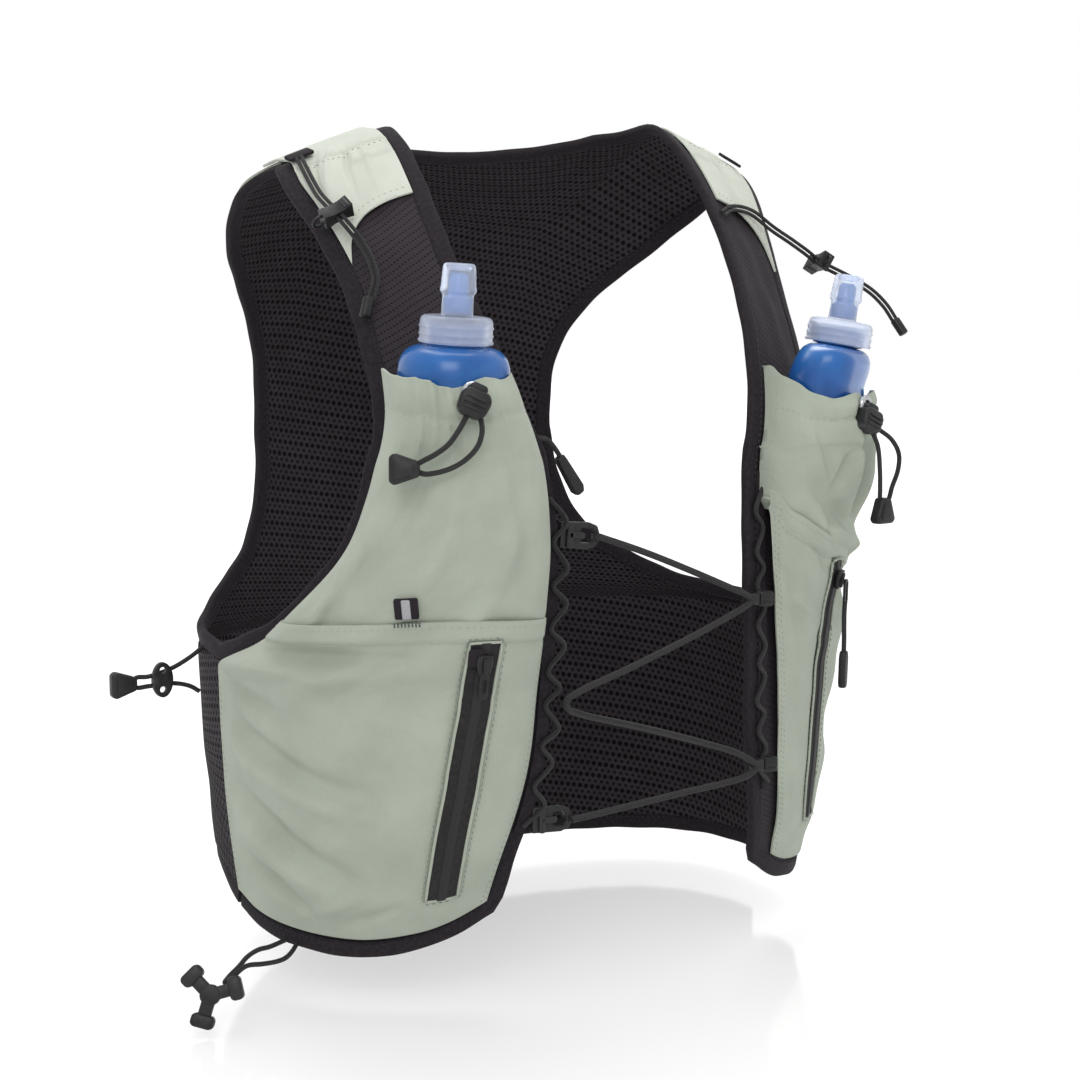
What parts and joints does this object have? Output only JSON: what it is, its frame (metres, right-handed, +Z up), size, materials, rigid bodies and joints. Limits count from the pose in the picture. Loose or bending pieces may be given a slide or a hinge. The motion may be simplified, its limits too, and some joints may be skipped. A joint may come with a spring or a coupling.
{
  "type": "running hydration vest",
  "caption": "Running hydration vest in sage nylon and black mesh, with soft flasks in the front bottle pockets, zipped lower pockets, elastic chest lacing and a back storage pocket.",
  "frame": {"origin": "between the shoulders, level with the neck ends of the shoulder straps", "axes": "+X to the wearer's left, +Y to the back, +Z up"},
  "size_m": [0.4197, 0.3248, 0.4432],
  "materials": {
    "sage_nylon": "matte fine ripstop nylon, sage green",
    "black_mesh": "open hexagon spacer mesh and fine knit mesh, black",
    "black_tape": "ribbed elastic binding and webbing, black",
    "black_plastic": "moulded acetal, dark grey black, matte",
    "grey_cord": "braided elastic cord, charcoal grey",
    "blue_flask": "soft blue film, slightly clear",
    "milky_cap": "milky moulded plastic and silicone",
    "steel_grommet": "pressed metal eyelet",
    "reflective_tape": "dark tape with a grey reflective stripe"
  },
  "bodies": {
    "vest": {"bottle_pocket_right": "sage_nylon", "bottle_pocket_left": "sage_nylon", "lower_pocket_right": "sage_nylon", "lower_pocket_left": "sage_nylon", "shoulder_yoke_right": "sage_nylon", "shoulder_yoke_left": "sage_nylon", "back_cover": "sage_nylon", "front_panel_right": "black_mesh", "front_panel_left": "black_mesh", "back_panel": "black_mesh", "armhole_binding_right": "black_tape", "armhole_binding_left": "black_tape", "neck_binding": "black_tape", "back_hem_binding": "black_tape", "daisy_webbing_right": "black_tape", "daisy_webbing_left": "black_tape", "shoulder_tab_right": "black_tape", "shoulder_tab_left": "black_tape", "pocket_zip_right": "black_plastic", "pocket_zip_left": "black_plastic", "zip_slider_right": "black_plastic", "zip_slider_left": "black_plastic", "cord_lock_right": "black_plastic", "cord_lock_left": "black_plastic", "pocket_cord_end_right": "black_plastic", "pocket_cord_end_left": "black_plastic", "shoulder_toggle_right": "black_plastic", "shoulder_toggle_left": "black_plastic", "shoulder_cord_end_right": "black_plastic", "shoulder_cord_end_left": "black_plastic", "side_keeper": "black_plastic", "side_cord_end": "black_plastic", "hem_hook": "black_plastic", "inner_pull_grip": "black_plastic", "upper_hook": "black_plastic", "lower_hook": "black_plastic", "upper_clip": "black_plastic", "lower_clip": "black_plastic", "daisy_cord_right": "grey_cord", "daisy_cord_left": "grey_cord", "lacing_cord": "grey_cord", "shoulder_cord_right": "grey_cord", "shoulder_cord_left": "grey_cord", "pocket_cord_right": "grey_cord", "pocket_cord_left": "grey_cord", "side_cord": "grey_cord", "hem_cord": "grey_cord", "inner_pull_cord": "grey_cord", "flask_right": "blue_flask", "flask_left": "blue_flask", "grommet_right": "steel_grommet", "grommet_left": "steel_grommet", "reflective_loop": "reflective_tape"},
    "cap_right": {"flask_cap_right": "milky_cap", "bite_valve_right": "milky_cap"},
    "cap_left": {"flask_cap_left": "milky_cap", "bite_valve_left": "milky_cap"}
  },
  "joints": [
    {"name": "cap_right_turn", "type": "hinge", "parent": "vest", "child": "cap_right", "pos_m": [-0.11327, -0.13632, -0.11185], "axis": [0.0174, -0.0871, 0.996], "range_deg": [0, 360]},
    {"name": "cap_left_turn", "type": "hinge", "parent": "vest", "child": "cap_left", "pos_m": [0.11422, -0.13257, -0.1131], "axis": [0.1387, -0.0863, 0.9866], "range_deg": [0, 360]}
  ]
}
